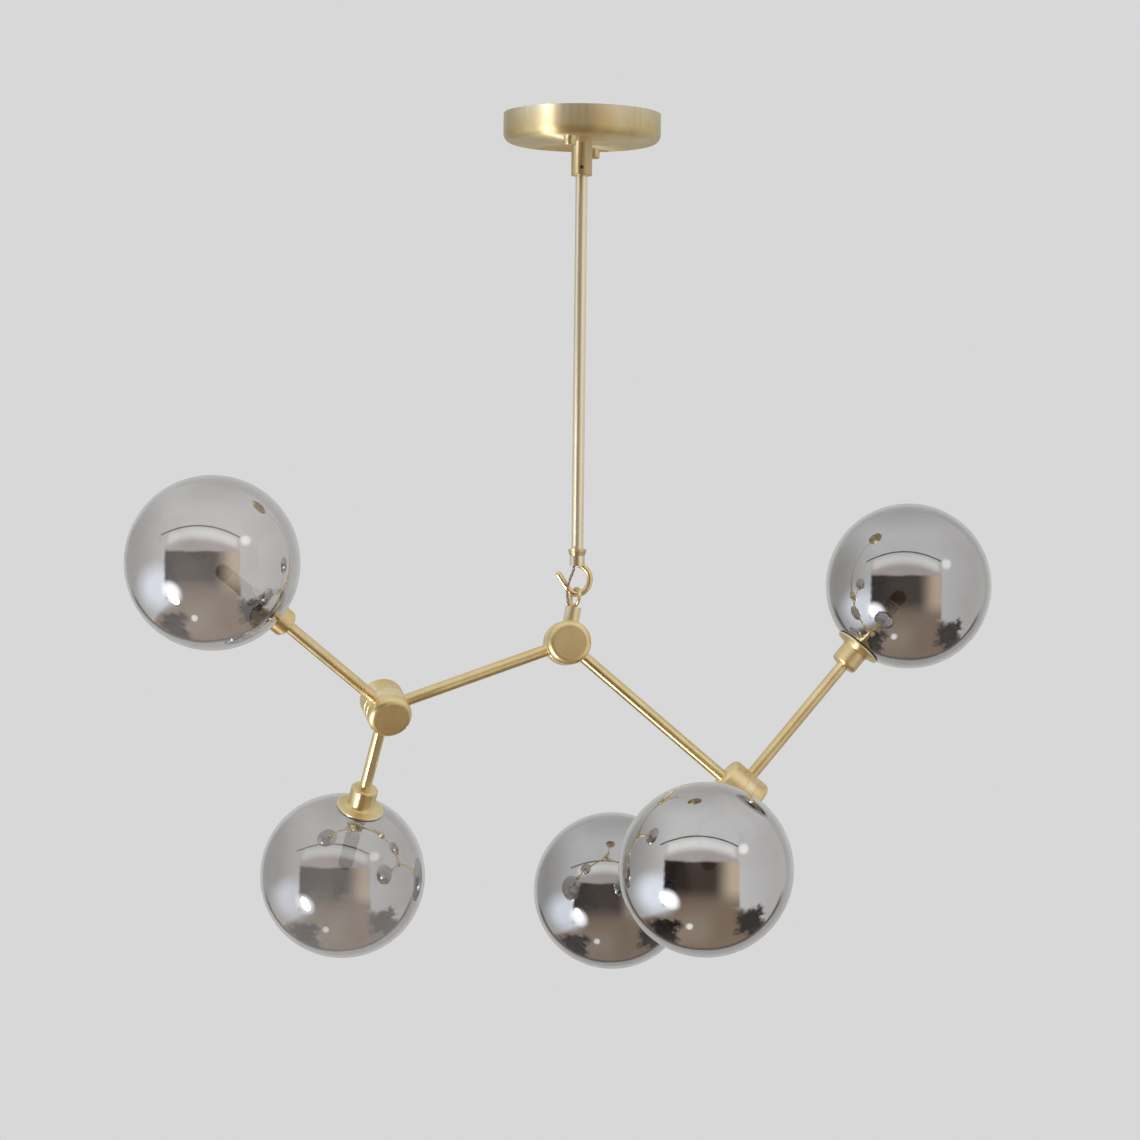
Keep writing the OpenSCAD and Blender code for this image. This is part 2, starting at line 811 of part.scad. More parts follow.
module bulb(n) {
    foot = socket_end + apart;
    shoulder = neck_end + apart;
    tip_r = bulb_d / 2;
    color(CLEAR) at_lamp(n) {
        rotate_extrude() {
            translate([0, foot]) square([bulb_stub_r, shoulder + 1 - foot]);
            translate([0, shoulder]) round_box(bulb_base_d / 2, bulb_base_len, bulb_edge_r);
            polygon([
                [0, shoulder + bulb_base_len - 1], [bulb_base_d / 2, shoulder + bulb_base_len - 1],
                [bulb_base_d / 2, shoulder + bulb_base_len],
                [tip_r, shoulder + bulb_base_len + bulb_taper_len],
                [tip_r, shoulder + bulb_base_len + bulb_taper_len + 1],
                [0, shoulder + bulb_base_len + bulb_taper_len + 1]
            ]);
            translate([0, shoulder + bulb_base_len + bulb_taper_len])
                round_pin(tip_r, neck_end + bulb_len - tip_r - shoulder - bulb_base_len - bulb_taper_len);
        }
        for (side = [-1, 1]) {
            translate([side * pin_spread / 2, 0, foot - pin_len]) cylinder(d = pin_d, h = pin_len + 1);
        }
    }
}

module globe(n) {
    color(SMOKE) at_lamp(n) translate([0, 0, globe_place]) difference() {
        sphere(globe_r, $fn = 96);
        sphere(globe_r - glass_t, $fn = 96);
        translate([0, 0, -globe_r - 1]) cylinder(r = mouth_r, h = globe_r);
    }
}

// Threaded ring cemented into a globe's mouth
module globe_collar(n) {
    start = dish_z(globe_r + flange_gap, mouth_r) + apart;
    seat = dish_z(globe_r - glass_t, mouth_r + collar_lip) + slip;
    color(BRASS) at_lamp(n) rotate_extrude() {
        translate([neck_r + slip, start]) square([mouth_r - neck_r - 2 * slip, seat + collar_lip_t - start]);
        translate([neck_r + slip, seat]) square([mouth_r - neck_r + collar_lip - slip, collar_lip_t]);
    }
}

// Rubber rings that lie on the flanges, under the globes
module globe_gaskets() {
    color(RUBBER) for (n = lamps) {
        at_lamp(n) rotate_extrude() intersection() {
            translate([0, globe_place]) difference() {
                circle(globe_r + flange_gap - eps, $fn = 180);
                circle(globe_r + apart, $fn = 180);
            }
            translate([gasket_in_r, 0]) square([flange_r - gasket_in_r, globe_place]);
        }
    }
}

ceiling_strap();
stud_strap();
ground_screw();
canopy_studs();
nipple();
nipple_nuts();
stem_coupling();
coupling_screw();
stem();
hook_lock_ring();
canopy();
cap_nuts();
hook();
supply_wire();
loop();
centre_hub_back();
centre_hub_ring();
centre_hub_cap();
left_hub_back();
left_hub_ring();
left_hub_cap();
right_hub_back();
right_hub_ring();
right_hub_cap();
hub_screws();
arm_centre_left();
arm_centre_right();
for (n = lamps) {
    arm(n);
    holder(n);
    socket(n);
    bulb(n);
    globe(n);
    globe_collar(n);
}
globe_gaskets();
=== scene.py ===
import json
import math
import bpy
import bmesh
from mathutils import Matrix, Vector


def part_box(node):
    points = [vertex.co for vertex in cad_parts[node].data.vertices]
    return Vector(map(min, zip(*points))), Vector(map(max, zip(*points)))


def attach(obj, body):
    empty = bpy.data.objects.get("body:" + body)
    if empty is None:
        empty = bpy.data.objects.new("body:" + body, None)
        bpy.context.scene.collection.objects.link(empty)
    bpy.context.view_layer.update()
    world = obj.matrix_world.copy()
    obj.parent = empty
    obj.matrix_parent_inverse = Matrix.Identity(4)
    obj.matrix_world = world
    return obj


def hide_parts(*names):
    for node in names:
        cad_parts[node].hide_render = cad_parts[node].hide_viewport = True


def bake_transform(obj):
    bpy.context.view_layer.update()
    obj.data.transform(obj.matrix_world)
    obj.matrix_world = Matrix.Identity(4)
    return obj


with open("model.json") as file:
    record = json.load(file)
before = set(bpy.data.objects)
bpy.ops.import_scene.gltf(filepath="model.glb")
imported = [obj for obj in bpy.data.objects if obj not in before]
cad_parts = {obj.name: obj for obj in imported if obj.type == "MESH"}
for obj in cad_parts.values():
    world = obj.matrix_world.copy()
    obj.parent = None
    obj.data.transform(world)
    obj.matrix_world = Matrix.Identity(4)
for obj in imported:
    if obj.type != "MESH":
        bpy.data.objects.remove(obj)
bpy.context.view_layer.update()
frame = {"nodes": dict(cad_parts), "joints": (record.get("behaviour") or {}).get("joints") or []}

MM = 0.001


# ---------------------------------------------------------------------------
# Camera. It stands 2.9 m in front of the stem, level with the top of the
# loop, and leans a little to one side, as in the photograph.
# ---------------------------------------------------------------------------
FRAME_PX = 1140
FOCAL_PX = 3448.6
HORIZON_PX = 600.0
CAMERA_PLACE = Vector((-5.7, -2891.4, -407.2)) * MM
CAMERA_ROLL = math.radians(0.65)

lens = bpy.data.cameras.new("camera")
camera = bpy.data.objects.new("camera", lens)
bpy.context.collection.objects.link(camera)
lens.sensor_width = 36
lens.lens = FOCAL_PX / FRAME_PX * lens.sensor_width
lens.shift_y = (HORIZON_PX - FRAME_PX / 2) / FRAME_PX
camera.matrix_world = (
    Matrix.Translation(CAMERA_PLACE)
    @ Matrix.Rotation(math.radians(90), 4, "X")
    @ Matrix.Rotation(CAMERA_ROLL, 4, "Z")
)
bpy.context.scene.camera = camera
bpy.context.scene.view_settings.view_transform = "Standard"


# ---------------------------------------------------------------------------
# Room and light. A plain pale backdrop and floor, with soft studio lights.
# Shiny surfaces see the room behind the camera: it is laid out here as a
# mirror ball shows it, from -1 to 1 across and up.
# ---------------------------------------------------------------------------
def value_or_link(tree, socket, value):
    """Sets a socket to a number or colour, or links it to another socket."""
    if isinstance(value, bpy.types.NodeSocket):
        tree.links.new(value, socket)
    elif hasattr(socket.default_value, "__len__") and not hasattr(value, "__len__"):
        socket.default_value = [value] * len(socket.default_value)
    elif hasattr(value, "__len__") and len(socket.default_value) == 4 and len(value) == 3:
        socket.default_value = (*value, 1.0)
    else:
        socket.default_value = value


def add(tree, kind, inputs=None, **settings):
    """A node with its settings, and its inputs by name or number."""
    node = tree.nodes.new(kind)
    for name, value in settings.items():
        setattr(node, name, value)
    for key, value in (inputs or {}).items():
        value_or_link(tree, node.inputs[key], value)
    return node


def maths(tree, operation, *values):
    """The result of one sum on numbers or sockets."""
    node = add(tree, "ShaderNodeMath", dict(enumerate(values)), operation=operation)
    return node.outputs[0]


def vector_maths(tree, operation, *values):
    """The result of one sum on vectors or sockets."""
    node = add(tree, "ShaderNodeVectorMath", dict(enumerate(values)), operation=operation)
    return node.outputs["Vector"]


def smooth(tree, value, low, high):
    """0 below low and 1 above high, with soft shoulders. low may be above high."""
    node = add(
        tree, "ShaderNodeMapRange", {"Value": value, "From Min": low, "From Max": high},
        interpolation_type="SMOOTHSTEP", clamp=True,
    )
    return node.outputs["Result"]


def blend_colours(tree, factor, first, second):
    """The first colour where the factor is 0 and the second where it is 1."""
    first_input, second_input = 6, 7
    inputs = {"Factor": factor, first_input: first, second_input: second}
    return add(tree, "ShaderNodeMix", inputs, data_type="RGBA").outputs[2]


world = bpy.data.worlds.new("room")
bpy.context.scene.world = world
world.use_nodes = True
room = world.node_tree
room.nodes.clear()

direction = add(room, "ShaderNodeTexCoord").outputs["Generated"]
towards = vector_maths(room, "NORMALIZE", vector_maths(room, "SUBTRACT", direction, (0, 1, 0)))
ball = add(room, "ShaderNodeSeparateXYZ", {0: towards})
across = ball.outputs["X"]
upward = ball.outputs["Z"]
depth_squared = maths(room, "POWER", ball.outputs["Y"], 2.0)
reach = maths(room, "SQRT", maths(room, "SUBTRACT", 1.0, depth_squared))
wander = add(
    room, "ShaderNodeTexNoise",
    {"Vector": towards, "Scale": 9.0, "Detail": 4.0, "Roughness": 0.65},
)
WANDER_BY = 0.16
uneven = maths(
    room, "MULTIPLY", maths(room, "SUBTRACT", wander.outputs["Fac"], 0.5), WANDER_BY,
)
BOW = 0.6


def bowed(middle_at):
    """Height on the ball, measured from lines that fall away on both sides of a middle."""
    aside = maths(room, "SUBTRACT", across, middle_at)
    return maths(room, "MULTIPLY_ADD", maths(room, "POWER", aside, 2.0), BOW, upward)


def between(value, low, high, soft):
    """1 between low and high, and 0 outside, with soft edges."""
    rises = smooth(room, value, low - soft, low + soft)
    falls = smooth(room, value, high + soft, high - soft)
    return maths(room, "MULTIPLY", rises, falls)


def patch(under, colour, left, right, bottom, top, soft=0.03, rough=0.0, height=upward):
    """Lays a soft-edged rectangle of colour on the ball picture."""
    x = maths(room, "MULTIPLY_ADD", uneven, rough, across) if rough else across
    z = maths(room, "MULTIPLY_ADD", uneven, rough, height) if rough else height
    mask = maths(
        room, "MULTIPLY", between(x, left, right, soft), between(z, bottom, top, soft),
    )
    return blend_colours(room, mask, under, colour)


def spot(under, colour, x, z, size, soft, slant=0.0):
    """Lays a soft round spot of colour. A slant draws it out, down to the right."""
    aside = maths(room, "SUBTRACT", across, x)
    aloft = maths(room, "SUBTRACT", upward, z)
    apart = maths(
        room, "ADD", maths(room, "POWER", aside, 2.0), maths(room, "POWER", aloft, 2.0),
    )
    if slant:
        both = maths(room, "MULTIPLY", aside, aloft)
        apart = maths(room, "ADD", apart, maths(room, "MULTIPLY", both, 2 * slant))
    away = maths(room, "SQRT", apart)
    return blend_colours(room, smooth(room, away, size + soft, size), under, colour)


# walls, darker at the far left and towards the top
LEFT_WALL = (0.42, 0.42, 0.41)
BACK_WALL = (0.86, 0.86, 0.87)
RIGHT_WALL = (0.68, 0.66, 0.66)
CEILING = (0.55, 0.55, 0.55)
seen = blend_colours(room, smooth(room, across, -0.95, -0.35), LEFT_WALL, BACK_WALL)
seen = blend_colours(room, smooth(room, across, 0.20, 0.90), seen, RIGHT_WALL)
seen = blend_colours(room, smooth(room, upward, 0.55, 1.00), seen, CEILING)

# floor, below a line that falls away on both sides, with clutter left and right
FLOOR = (0.30, 0.215, 0.15)
PALE_FLOOR = (0.40, 0.32, 0.245)
RIGHT_CLUTTER = (0.02, 0.015, 0.012)
LEFT_CLUTTER = (0.015, 0.01, 0.008)
seen = blend_colours(room, smooth(room, bowed(0.0), -0.29, -0.37), seen, FLOOR)
seen = patch(seen, PALE_FLOOR, -0.42, 0.05, -0.80, -0.48, soft=0.14)
seen = patch(seen, RIGHT_CLUTTER, 0.34, 0.62, -0.70, -0.44, soft=0.05, rough=2.2)
seen = patch(seen, LEFT_CLUTTER, -0.58, -0.30, -0.90, -0.57, soft=0.04, rough=2.2)

# an arch in the wall over the room behind the camera, and its pale soffit
ARCH = (0.62, 0.56, 0.55)
SOFFIT = (1.12, 1.12, 1.12)
ARCH_EDGE = (0.05, 0.05, 0.05)
arch_height = bowed(-0.1)
seen = patch(seen, ARCH, -0.49, 0.35, 0.05, 0.39, soft=0.02, height=arch_height)
seen = patch(seen, SOFFIT, -0.47, 0.33, 0.27, 0.39, soft=0.05, height=arch_height)
seen = patch(seen, ARCH_EDGE, -0.54, 0.35, 0.402, 0.418, soft=0.008, height=arch_height)

# the window's glow on the wall, at the left
WINDOW_GLOW = (1.30, 1.38, 1.56)
seen = spot(seen, WINDOW_GLOW, -0.56, -0.27, size=0.08, soft=0.25)

# the room itself: dark at its left, brown in the middle, beige at its right
ROOM_DARK = (0.004, 0.003, 0.003)
ROOM_BROWN = (0.060, 0.038, 0.029)
ROOM_BEIGE = (0.80, 0.64, 0.48)
inside_room = blend_colours(room, smooth(room, across, -0.46, -0.12), ROOM_DARK, ROOM_BROWN)
inside_room = blend_colours(room, smooth(room, across, 0.06, 0.30), inside_room, ROOM_BEIGE)
inside_room = blend_colours(room, smooth(room, upward, -0.16, -0.40), inside_room, FLOOR)
seen = patch(seen, inside_room, -0.49, 0.36, -0.40, 0.125, soft=0.02, rough=0.3)

# the window, a ceiling lamp and a small lamp on the floor
WINDOW = (2.1, 2.15, 2.3)
CEILING_LAMP = (1.4, 1.4, 1.4)
FLOOR_LAMP = (1.3, 1.3, 1.25)
seen = spot(seen, WINDOW, -0.42, -0.32, size=0.05, soft=0.09, slant=0.3)
seen = spot(seen, CEILING_LAMP, 0.41, 0.26, size=0.03, soft=0.05)
seen = spot(seen, FLOOR_LAMP, -0.18, -0.62, size=0.02, soft=0.03)

# the paper that the chandelier hangs before takes the rim, behind a dark edge
EDGE = 0.883
EDGE_SOFT = 0.025
PAPER_LEAN = 0.07
BACKDROP = (0.686, 0.686, 0.686)
UPPER_PAPER = (0.56, 0.56, 0.555)
LOWER_PAPER = (0.50, 0.495, 0.48)
PAPER_EDGE = (0.11, 0.095, 0.085)
leaning = maths(room, "MINIMUM", across, 0.0)
paper_at = maths(room, "MULTIPLY_ADD", leaning, PAPER_LEAN, reach)
below = smooth(room, upward, -0.20, -0.42)
edge = maths(room, "MULTIPLY", smooth(room, paper_at, EDGE - EDGE_SOFT, EDGE), below)
seen = blend_colours(room, edge, seen, PAPER_EDGE)
light_path = add(room, "ShaderNodeLightPath")
through = light_path.outputs["Is Transmission Ray"]
paper = blend_colours(room, below, UPPER_PAPER, LOWER_PAPER)
paper = blend_colours(room, through, paper, BACKDROP)
seen = blend_colours(room, smooth(room, paper_at, EDGE, EDGE + EDGE_SOFT), seen, paper)

# the camera sees the plain backdrop, and dull surfaces a plain sky
PLAIN_SKY = (0.75, 0.75, 0.76)
plain = blend_colours(room, light_path.outputs["Is Camera Ray"], PLAIN_SKY, BACKDROP)
shown = maths(room, "MAXIMUM", light_path.outputs["Is Glossy Ray"], through)
sky = add(
    room, "ShaderNodeBackground",
    {"Color": blend_colours(room, shown, plain, seen), "Strength": 1.0},
)
add(room, "ShaderNodeOutputWorld", {"Surface": sky.outputs[0]})


def stage_light(name, place, size, power, mirrored=False):
    """A soft studio light. A mirrored one is a bright pane that only shiny surfaces show."""
    data = bpy.data.lights.new(name, "AREA")
    data.shape = "ELLIPSE" if mirrored else "RECTANGLE"
    data.size, data.size_y = size
    data.energy = power
    lamp = bpy.data.objects.new(name, data)
    lamp.location = place
    aim = Vector((0, 0, -0.5)) - Vector(place)
    lamp.rotation_euler = aim.to_track_quat("-Z", "Y").to_euler()
    lamp.visible_camera = False
    lamp.visible_glossy = mirrored
    lamp.visible_diffuse = not mirrored
    lamp.visible_transmission = False
    bpy.context.collection.objects.link(lamp)


stage_light("window_pane", (-1.87, -1.08, -1.93), size=(0.50, 0.70), power=42, mirrored=True)
stage_light("window_light", (-2.2, -2.0, 0.2), size=(1.6, 1.8), power=45)
stage_light("front_light", (1.4, -2.4, 0.8), size=(1.4, 1.4), power=20)

FLOOR_Z = -2.3
FLOOR_REACH = 4
floor_corners = [
    (right * FLOOR_REACH, back * FLOOR_REACH, FLOOR_Z)
    for right, back in ((-1, -1), (1, -1), (1, 1), (-1, 1))
]
floor_data = bpy.data.meshes.new("floor")
floor_data.from_pydata(floor_corners, [], [(0, 1, 2, 3)])
floor = bpy.data.objects.new("floor", floor_data)
bpy.context.collection.objects.link(floor)
floor.visible_glossy = False
floor_look = bpy.data.materials.new("floor_paper")
floor_look.use_nodes = True
floor_shader = floor_look.node_tree.nodes["Principled BSDF"]
floor_shader.inputs["Base Color"].default_value = (0.72, 0.72, 0.72, 1)
floor_shader.inputs["Roughness"].default_value = 0.9
floor_data.materials.append(floor_look)


# ---------------------------------------------------------------------------
# Ceiling fixing, hidden by the canopy. Two pressed steel straps are crossed
# on a threaded nipple and locked with nuts, two studs carry the canopy, all
# zinc-plated, and a green painted screw takes the earth wire.
# ---------------------------------------------------------------------------
def new_material(name):
    """A node material, its tree and its Principled shader."""
    look = bpy.data.materials.new(name)
    look.use_nodes = True
    return look, look.node_tree, look.node_tree.nodes["Principled BSDF"]


def noise(tree, vector, scale, detail=3.0, roughness=0.5):
    """A cloudy 0 to 1 pattern with so many lumps in a metre."""
    node = add(
        tree, "ShaderNodeTexNoise",
        {"Vector": vector, "Scale": scale, "Detail": detail, "Roughness": roughness},
    )
    return node.outputs["Fac"]


def ranged(tree, value, low, high, new_low, new_high):
    """Stretches the range from low to high onto a new one."""
    node = add(
        tree, "ShaderNodeMapRange",
        {"Value": value, "From Min": low, "From Max": high, "To Min": new_low, "To Max": new_high},
    )
    return node.outputs["Result"]


def raised(tree, shader, strength, distance, height):
    """Gives a shader a fine relief."""
    bump = add(
        tree, "ShaderNodeBump", {"Strength": strength, "Distance": distance, "Height": height},
    )
    value_or_link(tree, shader.inputs["Normal"], bump.outputs[0])


def plated_steel(name, colour=(0.60, 0.61, 0.63)):
    """Zinc-plated steel: a faint crystal mottle and small scratches."""
    look, tree, shader = new_material(name)
    point = add(tree, "ShaderNodeTexCoord").outputs["Object"]
    crystals = add(tree, "ShaderNodeTexVoronoi", {"Vector": point, "Scale": 700.0})
    cloud = noise(tree, point, 90.0, 5.0, 0.6)
    dark = tuple(0.7 * c for c in colour)
    value_or_link(tree, shader.inputs["Base Color"], blend_colours(tree, cloud, dark, colour))
    shader.inputs["Metallic"].default_value = 1.0
    rough = ranged(tree, crystals.outputs["Distance"], 0.0, 0.8, 0.28, 0.45)
    value_or_link(tree, shader.inputs["Roughness"], rough)
    raised(tree, shader, 0.2, 0.05 * MM, cloud)
    return look


def painted(name, colour, rough=0.35, grain_scale=900.0):
    """Paint, rubber or glazed ceramic: slight tone changes and a fine orange peel."""
    look, tree, shader = new_material(name)
    point = add(tree, "ShaderNodeTexCoord").outputs["Object"]
    cloud = noise(tree, point, 120.0, 5.0, 0.6)
    dark = tuple(0.8 * c for c in colour)
    value_or_link(tree, shader.inputs["Base Color"], blend_colours(tree, cloud, dark, colour))
    uneven_sheen = ranged(tree, cloud, 0.3, 0.7, rough - 0.06, rough + 0.08)
    value_or_link(tree, shader.inputs["Roughness"], uneven_sheen)
    raised(tree, shader, 0.25, 0.08 * MM, noise(tree, point, grain_scale))
    return look


def dress(node, look):
    """Gives a CAD node its material."""
    piece = frame["nodes"][node]
    piece.data.materials.clear()
    piece.data.materials.append(look)


def keep(name, vertices, faces, look, body, sharp=40):
    """A mesh piece in the row frame, smooth but for its sharp edges, that rides on a body."""
    data = bpy.data.meshes.new(name)
    data.from_pydata([tuple(v) for v in vertices], [], faces)
    mesh = bmesh.new()
    mesh.from_mesh(data)
    bmesh.ops.remove_doubles(mesh, verts=mesh.verts, dist=0.001 * MM)
    loose = [edge for edge in mesh.edges if not edge.link_faces]
    bmesh.ops.delete(mesh, geom=loose, context="EDGES")
    bmesh.ops.recalc_face_normals(mesh, faces=mesh.faces)
    mesh.to_mesh(data)
    mesh.free()
    data.shade_smooth()
    data.set_sharp_from_angle(angle=math.radians(sharp))
    data.materials.append(look)
    piece = bpy.data.objects.new(name, data)
    bpy.context.collection.objects.link(piece)
    if body:
        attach(piece, body)
    return piece


def stood(origin, axis):
    """The matrix that stands something on an origin, with its Z along an axis."""
    turn = Vector(axis).to_track_quat("Z", "Y").to_matrix().to_4x4()
    return Matrix.Translation(origin) @ turn


def thread(name, origin, axis, radius, length, pitch, look, body, depth=0.35 * MM, sides=40):
    """A screw thread's ridge: a three-sided rib wound round a cylinder."""
    sunk = -0.1 * MM
    place = stood(origin, axis)
    vertices, faces = [], []
    steps = int(sides * (length / pitch - 1))
    for k in range(steps + 1):
        angle = 2 * math.pi * k / sides
        height = pitch * k / sides
        swell = depth * min(1.0, k / sides, (steps - k) / sides)
        for out_by, up in ((sunk, 0.0), (swell, pitch * 0.35), (sunk, pitch * 0.7)):
            reach_out = radius + out_by
            vertices.append(place @ Vector(
                (reach_out * math.cos(angle), reach_out * math.sin(angle), height + up)
            ))
    for k in range(steps):
        a = 3 * k
        for j in range(3):
            faces.append((a + j, a + (j + 1) % 3, a + 3 + (j + 1) % 3, a + 3 + j))
    faces.append((2, 1, 0))
    faces.append((3 * steps, 3 * steps + 1, 3 * steps + 2))
    return keep(name, vertices, faces, look, body, sharp=25)


UP = Vector((0, 0, 1))
STUD_AWAY = 44.45 * MM
STUD_TURN = math.radians(77)
STUD_THREAD_R = 2 * MM
STUD_THREAD_START = -22.4 * MM
STUD_THREAD_LEN = 17.6 * MM
NUT_TOP = 4.4 * MM
NIPPLE_R = 5 * MM
NIPPLE_THREAD_LEN = 3.3 * MM
steel = plated_steel("zinc_steel")
for node in (
    "ceiling_strap", "stud_strap", "canopy_studs", "nipple", "nipple_nuts", "hub_screws",
):
    dress(node, steel)
dress("coupling_screw", plated_steel("dark_steel", (0.25, 0.24, 0.23)))
dress("ground_screw", painted("green_paint", (0.04, 0.22, 0.07)))
nipple_thread = thread(
    "nipple_thread", NUT_TOP * UP, UP, NIPPLE_R, NIPPLE_THREAD_LEN, 1 * MM, steel, "root",
)
stud_way = Vector((math.cos(STUD_TURN), math.sin(STUD_TURN), 0))
for name, away in (("stud_thread_back", STUD_AWAY), ("stud_thread_front", -STUD_AWAY)):
    ridge = thread(
        name, away * stud_way + STUD_THREAD_START * UP, UP, STUD_THREAD_R, STUD_THREAD_LEN,
        0.7 * MM, steel, "root", depth=0.2 * MM, sides=24,
    )


# ---------------------------------------------------------------------------
# Canopy and stem. The canopy is a spun brass dish with two turned cap nuts.
# The stem is a drawn brass tube in a turned coupling, with a flared lock ring
# at its foot. All are satin finished, with fine marks round or along them.
# ---------------------------------------------------------------------------
BRASS_PALE = (0.88, 0.74, 0.42)
BRASS_DEEP = (0.78, 0.61, 0.30)
# a paler brass painted on sharp edges, a painted highlight
BRASS_EDGE_HIGHLIGHT = (0.93, 0.84, 0.62)


def local_point(tree, origin, axis):
    """The surface point measured from an origin, with Z along an axis."""
    place = add(tree, "ShaderNodeTexCoord").outputs["Object"]
    turn = Vector(axis).to_track_quat("Z", "Y").to_euler()
    mapping = add(
        tree, "ShaderNodeMapping",
        {"Vector": place, "Location": tuple(origin), "Rotation": tuple(turn)},
        vector_type="TEXTURE",
    )
    return mapping.outputs[0]


def drawn_lines(tree, point):
    """Long faint lines along a drawn tube."""
    stretched = vector_maths(tree, "MULTIPLY", point, (1.0, 1.0, 0.012))
    return noise(tree, stretched, 350.0, 1.0)


def turned_rings(tree, point):
    """Fine rings round turned work, which waver a little."""
    part = add(tree, "ShaderNodeSeparateXYZ", {0: point})
    squares = [maths(tree, "POWER", part.outputs[side], 2.0) for side in ("X", "Y")]
    radius = maths(tree, "SQRT", maths(tree, "ADD", *squares))
    rings = add(tree, "ShaderNodeCombineXYZ", {0: radius, 2: part.outputs["Z"]}).outputs[0]
    waver = vector_maths(tree, "MULTIPLY", point, (0.02, 0.02, 0.0))
    return noise(tree, vector_maths(tree, "ADD", waver, rings), 1500.0, 3.0, 0.6)


def swing_of(tree, value, by, around):
    """Lets a 0 to 1 pattern swing a number by so much to both sides."""
    return maths(tree, "MULTIPLY_ADD", maths(tree, "SUBTRACT", value, 0.5), by, around)


def brush(tree, shader, origin, axis, brushed):
    """Makes the fine marks round an axis spread a highlight across themselves."""
    place = add(tree, "ShaderNodeTexCoord").outputs["Object"]
    outward = vector_maths(tree, "SUBTRACT", place, tuple(origin))
    ring = add(
        tree, "ShaderNodeVectorTransform",
        {0: vector_maths(tree, "CROSS_PRODUCT", tuple(axis), outward)},
        vector_type="VECTOR", convert_from="OBJECT", convert_to="WORLD",
    )
    facing = add(tree, "ShaderNodeNewGeometry").outputs["Normal"]
    across_marks = vector_maths(tree, "CROSS_PRODUCT", facing, ring.outputs[0])
    value_or_link(tree, shader.inputs["Tangent"], across_marks)
    shader.inputs["Anisotropic"].default_value = brushed


def brass(name, origin, axis, drawn=False, rough=0.40, brushed=0.75):
    """Satin brass. Turned work has fine rings round the axis, drawn tube has lines along it."""
    look, tree, shader = new_material(name)
    point = local_point(tree, origin, axis)
    lines = drawn_lines(tree, point) if drawn else turned_rings(tree, point)
    cloud = noise(tree, point, 45.0, 4.0, 0.6)
    tone = swing_of(tree, lines, 0.22, cloud)
    colour = blend_colours(tree, smooth(tree, tone, 0.3, 0.72), BRASS_DEEP, BRASS_PALE)
    # sharp convex edges, found by pointiness, are painted a paler brass: a painted edge highlight
    corners = add(tree, "ShaderNodeNewGeometry").outputs["Pointiness"]
    colour = blend_colours(tree, smooth(tree, corners, 0.53, 0.62), colour, BRASS_EDGE_HIGHLIGHT)
    value_or_link(tree, shader.inputs["Base Color"], colour)
    shader.inputs["Metallic"].default_value = 1.0
    sheen = swing_of(tree, lines, 0.10, rough)
    value_or_link(tree, shader.inputs["Roughness"], swing_of(tree, cloud, 0.10, sheen))
    if brushed:
        brush(tree, shader, origin, axis, brushed)
    grain = noise(tree, point, 9000.0, 2.0)
    raised(tree, shader, 0.18, 0.03 * MM, maths(tree, "MULTIPLY_ADD", grain, 0.1, lines))
    return look


AXIS_POINT = Vector((0, 0, 0))
stem_brass = brass("brass_turned_stem", AXIS_POINT, UP, rough=0.50, brushed=0.95)
for node in ("canopy", "stem_coupling", "hook_lock_ring"):
    dress(node, stem_brass)
dress("stem", brass("brass_drawn_stem", AXIS_POINT, UP, drawn=True))
dress("cap_nuts", brass("brass_nuts", -STUD_AWAY * stud_way, UP))


# ---------------------------------------------------------------------------
# Hook and loop, two smooth brass castings that hang in each other, and the
# supply wire: two twisted copper cores in a clear plastic sleeve, which runs
# down the stem, leaves the hook's socket and enters the loop's base.
# ---------------------------------------------------------------------------
def clear(name, tint=(0.93, 0.95, 0.95), rough=0.02, through_it=1.0):
    """Clear glass or clear plastic with faint streaks."""
    look, tree, shader = new_material(name)
    point = add(tree, "ShaderNodeTexCoord").outputs["Object"]
    streaks = noise(tree, point, 160.0, 3.0)
    shade = tuple(0.94 * c for c in tint)
    value_or_link(tree, shader.inputs["Base Color"], blend_colours(tree, streaks, shade, tint))
    shader.inputs["Transmission Weight"].default_value = through_it
    shader.inputs["IOR"].default_value = 1.45
    streaked = ranged(tree, streaks, 0.3, 0.7, rough * 0.5, rough * 1.5)
    value_or_link(tree, shader.inputs["Roughness"], streaked)
    return look


def steady_frames(points):
    """For each point of a path, the point with two directions square to the path."""
    side = (points[1] - points[0]).orthogonal().normalized()
    frames = []
    for before, place, after in zip([points[0], *points], points, [*points[1:], points[-1]]):
        ahead = (after - before).normalized()
        side = (side - side.dot(ahead) * ahead).normalized()
        frames.append((place, side, ahead.cross(side)))
    return frames


def twisted(points, away, pitch, phase):
    """The path of a wire that winds round a path, one turn in each pitch."""
    path, run = [], 0.0
    for k, (place, side, front) in enumerate(steady_frames(points)):
        run += (place - points[max(k - 1, 0)]).length
        angle = phase + 2 * math.pi * run / pitch
        path.append(place + away * (math.cos(angle) * side + math.sin(angle) * front))
    return path


def curve_points(route, steps=8):
    """A smooth curve through the points of a route."""
    points = []
    ends = [route[0] * 2 - route[1], *route, route[-1] * 2 - route[-2]]
    for a, b, c, d in zip(ends, ends[1:], ends[2:], ends[3:]):
        for k in range(steps):
            t = k / steps
            squared = 2 * a - 5 * b + 4 * c - d
            cubed = 3 * b - a - 3 * c + d
            points.append((2 * b + (c - a) * t + squared * t * t + cubed * t ** 3) / 2)
    return [*points, route[-1]]


def swept(name, points, radius, look, body, sides=12):
    """A round tube along points, closed at both ends."""
    vertices, faces = [], []
    for place, side, front in steady_frames(points):
        for k in range(sides):
            angle = 2 * math.pi * k / sides
            vertices.append(place + radius * (math.cos(angle) * side + math.sin(angle) * front))
    for ring in range(len(points) - 1):
        for k in range(sides):
            a, b = ring * sides + k, ring * sides + (k + 1) % sides
            faces.append((a, b, b + sides, a + sides))
    faces.append(tuple(reversed(range(sides))))
    faces.append(tuple(range((len(points) - 1) * sides, len(points) * sides)))
    return keep(name, vertices, faces, look, body)


